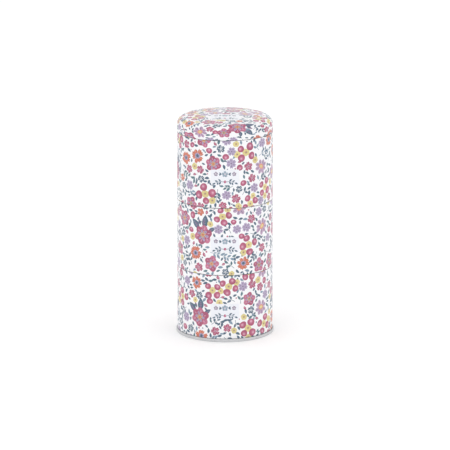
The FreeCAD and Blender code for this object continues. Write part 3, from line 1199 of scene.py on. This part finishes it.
# ---- shader maths ---------------------------------------------------------------------------
class Wire:
    """A value in a material; arithmetic on it adds Math nodes."""

    def __init__(self, nodes, socket):
        self.nodes, self.socket = nodes, socket

    def maths(self, operation, other, swap=False):
        """A Math node of this value and another."""
        pair = [other, self] if swap else [self, other]
        return self.nodes.add("ShaderNodeMath", {"operation": operation}, dict(enumerate(pair)))

    def __add__(self, other):
        return self.maths("ADD", other)

    def __sub__(self, other):
        return self.maths("SUBTRACT", other)

    def __mul__(self, other):
        return self.maths("MULTIPLY", other)

    def __rsub__(self, other):
        return self.maths("SUBTRACT", other, swap=True)

    __radd__, __rmul__ = __add__, __mul__

    def clamp(self, low=0.0, high=1.0):
        """This value held between two limits."""
        return self.maths("MAXIMUM", low).maths("MINIMUM", high)

    def step(self, start, end):
        """This value as a share of the way from start to end."""
        return ((self - start) * (1 / (end - start))).clamp()


class Nodes:
    """Builds one material."""

    def __init__(self, name):
        self.material = bpy.data.materials.new(name)
        self.material.use_nodes = True
        self.tree = self.material.node_tree
        self.shader = self.tree.nodes["Principled BSDF"]

    def add(self, kind, settings=None, inputs=None, output=0):
        """Adds a node, sets it up, feeds it and returns one of its outputs."""
        node = self.tree.nodes.new(kind)
        for key, value in (settings or {}).items():
            setattr(node, key, value)
        for key, value in (inputs or {}).items():
            self.feed(node.inputs[key], value)
        return Wire(self, node.outputs[output])

    def feed(self, socket, value):
        """Sets a socket or links a wire to it."""
        if isinstance(value, Wire):
            self.tree.links.new(value.socket, socket)
        else:
            socket.default_value = value

    def place(self):
        """Object coordinates."""
        return self.add("ShaderNodeTexCoord", output="Object")

    def stretched(self, scale):
        """Object coordinates scaled along each axis."""
        return self.add("ShaderNodeMapping", None, {"Vector": self.place(), "Scale": scale})

    def noise(self, vector, scale, detail=3.0, roughness=0.5):
        """Noise between 0 and 1."""
        inputs = {"Vector": vector, "Scale": scale, "Detail": detail, "Roughness": roughness}
        return self.add("ShaderNodeTexNoise", None, inputs)

    def mix(self, share, first, second, blend="MIX"):
        """Colour mixed from two."""
        settings = {"data_type": "RGBA", "blend_type": blend}
        return self.add("ShaderNodeMix", settings, {0: share, 6: first, 7: second}, output=2)

    def bump(self, height, distance, strength=1.0, normal=None):
        """Normal of a bumpy surface."""
        inputs = {"Height": height, "Distance": distance, "Strength": strength}
        if normal:
            inputs["Normal"] = normal
        return self.add("ShaderNodeBump", None, inputs)

    def finish(self, **sockets):
        """Feeds the shader and returns the material."""
        for name, value in sockets.items():
            self.feed(self.shader.inputs[name.replace("_", " ")], value)
        return self.material


def printed_tin(name):
    """Flower print on a white coat under gloss varnish."""
    nodes = Nodes(name)
    colour = nodes.add("ShaderNodeAttribute", {"attribute_name": "ink"}, output="Color")
    grain = nodes.noise(nodes.place(), 1500, 4, 0.62)
    cloud = nodes.noise(nodes.place(), 230, 2, 0.5)
    wash = (grain * 0.6 + cloud * 0.4).step(0.3, 0.7)
    fullness = nodes.add("ShaderNodeSeparateColor", {"mode": "HSV"}, {"Color": colour}, output=1)
    inked = fullness.step(0.05, 0.3)
    tone = nodes.mix(wash, (0.86, 0.84, 0.86, 1), (1.08, 1.09, 1.08, 1))
    washed = nodes.mix(inked, colour, nodes.mix(1.0, colour, tone, "MULTIPLY"))
    cooler = nodes.mix(1.0, washed, (0.975, 0.98, 0.985, 1), "MULTIPLY")
    coat = nodes.mix(cloud.step(0.35, 0.65) * 0.5, washed, cooler)
    smudge = nodes.noise(nodes.stretched((1, 1, 0.6)), 42, 4, 0.6).step(0.48, 0.72)
    peel = nodes.noise(nodes.place(), 420, 2, 0.5)
    rough = 0.3 + smudge * 0.1 + grain * 0.05
    bump = nodes.bump(peel + grain * 0.15, 0.00003, 0.5)
    nodes.shader.inputs["Coat Roughness"].default_value = 0.08
    nodes.shader.inputs["Coat Weight"].default_value = 0.35
    return nodes.finish(Base_Color=coat, Roughness=rough, Normal=bump)


def bare_tinplate(name, scale, tint=(0.74, 0.75, 0.765)):
    """Bright tinplate with rolling grain along the axis in which scale is smallest; a darker tint paints
    shade into the folds and a darker reflection into the base.
    """
    nodes = Nodes(name)
    grain = nodes.noise(nodes.stretched(scale), 1.0, 5, 0.6)
    fine = nodes.noise(nodes.stretched([s * 3.1 for s in scale]), 1.0, 3, 0.7)
    flow = nodes.noise(nodes.place(), 55, 4, 0.55)
    scuff = nodes.noise(nodes.stretched((260, 90, 170)), 3.0, 6, 0.7).step(0.62, 0.74)
    dark, light = (*[t * 0.86 for t in tint], 1), (*[min(1, t * 1.1) for t in tint], 1)
    colour = nodes.mix((grain * 0.5 + flow * 0.5).step(0.3, 0.7), dark, light)
    worn = nodes.mix(scuff * 0.35, colour, (0.86, 0.86, 0.85, 1))
    rough = 0.2 + grain.step(0.3, 0.7) * 0.12 + flow.step(0.4, 0.7) * 0.1 + scuff * 0.08
    bump = nodes.bump(grain + fine * 0.5 + scuff * 0.4, 0.00002, 0.6)
    nodes.shader.inputs["Metallic"].default_value = 1.0
    return nodes.finish(Base_Color=worn, Roughness=rough, Normal=bump)


ROUND_GRAIN = (60, 60, 5200)      # lines round an upright wall
FLAT_GRAIN = (90, 3600, 3600)     # lines across a floor
FOLD_SHADE = (0.17, 0.165, 0.175)       # bare tinplate in a fold, painted near black as the shade in the seams between the parts
BASE_DARK_REFLECTION = (0.63, 0.635, 0.65)        # tinplate of the base, painted darker to stand in for the dark reflections on its rim


# ---- limits of the artwork ------------------------------------------------------------------
LID_FLAT = 14.0         # the lid's motifs keep their shape this far out
RIM_SQUEEZE = 0.68      # and are this high for their width at the edge
LID_SNUG = 0.86         # room that a motif on the lid keeps to itself
LID_FULLNESS = 1.3      # how much more the lid carries than the walls


def keep_on_wall(height, girth):
    """Keeps a point on the flat sheet of a wall, clear of its edges."""
    side, end = girth / 2 - PRINT_MARGIN, 0.12

    def keep(point):
        return Vector((min(max(point.x, -side), side), min(max(point.y, end), height - end)))

    return keep


def press_on_lid(point, middle):
    """Squeezes a motif towards the lid's edge, where the disc is drawn down into the skirt."""
    reach = middle.length
    if reach < LID_FLAT:
        return point
    out, offset = middle / reach, point - middle
    across = Vector((-out.y, out.x))
    share = min(1.0, (reach - LID_FLAT) / (OUTER_RADIUS - LID_FLAT))
    squeeze = 1 - (1 - RIM_SQUEEZE) * share
    widen = max(1.0, reach / OUTER_RADIUS)
    return middle + out * (offset.dot(out) * squeeze) + across * (offset.dot(across) * widen)


def keep_on_disc(rim):
    """Keeps a point on the flat disc of the lid, clear of its edge."""
    def keep(point):
        reach = point.length
        return point if reach < rim - 0.12 else point * ((rim - 0.12) / reach)

    return keep


# ---- operators ------------------------------------------------------------------------------
class STACKINGTIN_OT_walls(bpy.types.Operator):
    """Prints and rolls the three walls"""

    bl_idname = "stacking_tin.walls"
    bl_label = "Printed walls"

    def execute(self, context):
        print_tin = printed_tin("flower_print")
        inside = bare_tinplate("wall_inside_tinplate", ROUND_GRAIN)
        # the folds' tinplate is painted near black: painted shade in the seams between the tiers
        folds = bare_tinplate("wall_fold_tinplate", ROUND_GRAIN, FOLD_SHADE)
        girth = math.tau * OUTER_RADIUS
        for number, tier in enumerate(TIERS):
            lowest = number == 0
            stations = base_wall_section() if lowest else upper_wall_section()
            outermost = [s for s in stations if s.face.x > OUTER_RADIUS - 0.01]
            rise = next(s for s in outermost if s.normal.x > 0.999)
            start = rise.along - rise.face.y
            height = stations[-1].along
            art = Artwork(context.scene.stacking_tin_print.seed + number, keep_on_wall(height, girth))

            def spot(draw, height=height):
                return Vector((draw.uniform(-girth / 2, girth / 2), draw.uniform(0, height)))

            centre = Vector((0, start + print_size("label_centre")))
            high = print_size("label_height")
            compose(art, MAIN_FLOWERS[tier], centre, high, spot, girth * height, start)
            seam_ends = ((BASE_TOP if lowest else PAN_TOP) + SEAM_RELIEF, COLLAR_FOOT - SEAM_RELIEF)
            node = f"{tier}_wall"
            print_ends = print_limits(stations, lowest)
            materials = [print_tin, inside, folds]
            foot = number * TIER_PITCH
            piece = form_wall(f"{node}_printed", stations, art, print_ends, seam_ends, foot, materials)
            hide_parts(node)
            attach(piece, f"{tier}_tin")
        return {"FINISHED"}


class STACKINGTIN_OT_lid(bpy.types.Operator):
    """Prints and draws the slip lid"""

    bl_idname = "stacking_tin.lid"
    bl_label = "Printed lid"

    def execute(self, context):
        stations = lid_section()
        rim = stations[-1].along
        seed = context.scene.stacking_tin_print.seed + len(TIERS)
        art = Artwork(seed, keep_on_disc(rim), press_on_lid, LID_SNUG)

        def spot(draw):
            return polar(draw.uniform(0, math.tau), rim * math.sqrt(draw.random()))

        centre = Vector((0, -print_size("lid_label_shift")))
        area = math.pi * rim**2
        high = print_size("lid_label_height")
        compose(art, LID_FLOWERS, centre, high, spot, area, fullness=LID_FULLNESS)
        materials = [printed_tin("lid_flower_print"), bare_tinplate("lid_inside_tinplate", FLAT_GRAIN)]
        # the lid's fold is painted near black: painted shade in the seam under the lid
        materials.append(bare_tinplate("lid_fold_tinplate", ROUND_GRAIN, FOLD_SHADE))
        print_end = next(s.along for s in stations if s.normal.y < -0.6)
        piece = form_lid("lid_printed", stations, art, print_end, LID_BOTTOM, materials)
        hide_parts("lid_shell")
        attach(piece, "lid")
        return {"FINISHED"}


class STACKINGTIN_OT_collars(bpy.types.Operator):
    """Rolls the bare collars that the tins plug together by"""

    bl_idname = "stacking_tin.collars"
    bl_label = "Collars"

    def execute(self, context):
        metal = bare_tinplate("collar_tinplate", ROUND_GRAIN)
        for number, tier in enumerate(TIERS):
            piece = spin_piece(f"{tier}_collar_rolled", collar_section(), number * TIER_PITCH, [metal])
            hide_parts(f"{tier}_collar")
            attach(piece, f"{tier}_tin")
        return {"FINISHED"}


class STACKINGTIN_OT_floors(bpy.types.Operator):
    """Presses the floors of the upper tins and the base"""

    bl_idname = "stacking_tin.floors"
    bl_label = "Floors and base"

    def execute(self, context):
        metal = bare_tinplate("floor_tinplate", FLAT_GRAIN)
        for number, tier in enumerate(TIERS[1:], start=1):
            piece = spin_piece(f"{tier}_floor_pressed", pan_section(), number * TIER_PITCH, [metal])
            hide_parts(f"{tier}_floor_pan")
            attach(piece, f"{tier}_tin")
        # the base's tinplate is painted darker: a painted dark reflection on its rim
        metal = bare_tinplate("base_tinplate", FLAT_GRAIN, BASE_DARK_REFLECTION)
        piece = spin_piece("base_pressed", base_section(), 0, [metal])
        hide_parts("base_end")
        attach(piece, "bottom_tin")
        return {"FINISHED"}


FLOOR_GLOW = 0.07                   # lifts the floor to an even white
FLOOR_SIDE = 14                     # metres, past the edge of every view
LIGHT_SIDE = 1.8                    # metres
KEY_PLACE = (-1.3, -2.0, 1.9)
FILL_PLACE = (1.9, -1.2, 1.3)


def add_light(name, place, power):
    """Large square light that faces the middle of the tin."""
    bpy.ops.object.light_add(type="AREA", location=place)
    light = bpy.context.object
    light.name = name
    light.data.size = LIGHT_SIDE
    light.data.energy = power
    aim = Vector((0, 0, 0.09)) - Vector(place)
    light.rotation_euler = aim.to_track_quat("-Z", "Y").to_euler()


class STACKINGTIN_OT_studio(bpy.types.Operator):
    """Sets up the floor, the light and the camera"""

    bl_idname = "stacking_tin.studio"
    bl_label = "Studio"

    def execute(self, context):
        studio = context.scene.stacking_tin_studio
        bpy.ops.mesh.primitive_plane_add(size=FLOOR_SIDE, location=(0, 0, 0))
        floor = context.object
        floor.name = "floor"
        nodes = Nodes("pale_floor")
        soft = nodes.noise(nodes.place(), 3, 2, 0.5)
        tone = (*studio.floor, 1)
        colour = nodes.mix(soft * 0.1, tone, (*[c * 0.98 for c in studio.floor], 1))
        nodes.shader.inputs["Emission Color"].default_value = (1, 1, 1, 1)
        nodes.shader.inputs["Emission Strength"].default_value = FLOOR_GLOW
        floor.data.materials.append(nodes.finish(Base_Color=colour, Roughness=0.9))

        world = bpy.data.worlds.new("studio_sky")
        world.use_nodes = True
        background = world.node_tree.nodes["Background"]
        background.inputs["Color"].default_value = (1, 1, 1, 1)
        background.inputs["Strength"].default_value = studio.sky
        context.scene.world = world
        add_light("key", KEY_PLACE, studio.key)
        add_light("fill", FILL_PLACE, studio.fill)
        context.scene.view_settings.view_transform = "Standard"

        back = Vector((0, -math.cos(studio.elevation), math.sin(studio.elevation)))
        aim = Vector((0, 0, studio.aim))
        bpy.ops.object.camera_add(location=aim + back * studio.distance)
        camera = context.object
        camera.rotation_euler = (-back).to_track_quat("-Z", "Y").to_euler()
        camera.data.lens = studio.lens
        camera.data.clip_start, camera.data.clip_end = 0.1, 50
        context.scene.camera = camera
        return {"FINISHED"}


class STACKINGTIN_PT_panel(bpy.types.Panel):
    """Builds the tin piece by piece"""

    bl_label = "Stacking tin"
    bl_idname = "STACKINGTIN_PT_panel"
    bl_space_type = "VIEW_3D"
    bl_region_type = "UI"
    bl_category = "Stacking tin"

    def draw(self, context):
        for operator in OPERATORS:
            self.layout.operator(operator.bl_idname)
        for group in GROUPS:
            holder = getattr(context.scene, group)
            column = self.layout.column()
            for key in holder.__annotations__:
                column.prop(holder, key)


GROUPS = {
    "stacking_tin_sheet": StackingTinSheet,
    "stacking_tin_print": StackingTinPrint,
    "stacking_tin_studio": StackingTinStudio,
}
OPERATORS = (
    STACKINGTIN_OT_walls,
    STACKINGTIN_OT_lid,
    STACKINGTIN_OT_collars,
    STACKINGTIN_OT_floors,
    STACKINGTIN_OT_studio,
)
CLASSES = (*GROUPS.values(), *OPERATORS, STACKINGTIN_PT_panel)


def register():
    """Makes the panel, its operators and its settings known."""
    for each in CLASSES:
        bpy.utils.register_class(each)
    for key, group in GROUPS.items():
        setattr(bpy.types.Scene, key, PointerProperty(type=group))


def unregister():
    """Takes them away again."""
    for key in GROUPS:
        delattr(bpy.types.Scene, key)
    for each in reversed(CLASSES):
        bpy.utils.unregister_class(each)


def main():
    """Builds every piece and the studio."""
    register()
    bpy.ops.stacking_tin.walls()
    bpy.ops.stacking_tin.lid()
    bpy.ops.stacking_tin.collars()
    bpy.ops.stacking_tin.floors()
    bpy.ops.stacking_tin.studio()


if __name__ == "__main__":
    main()
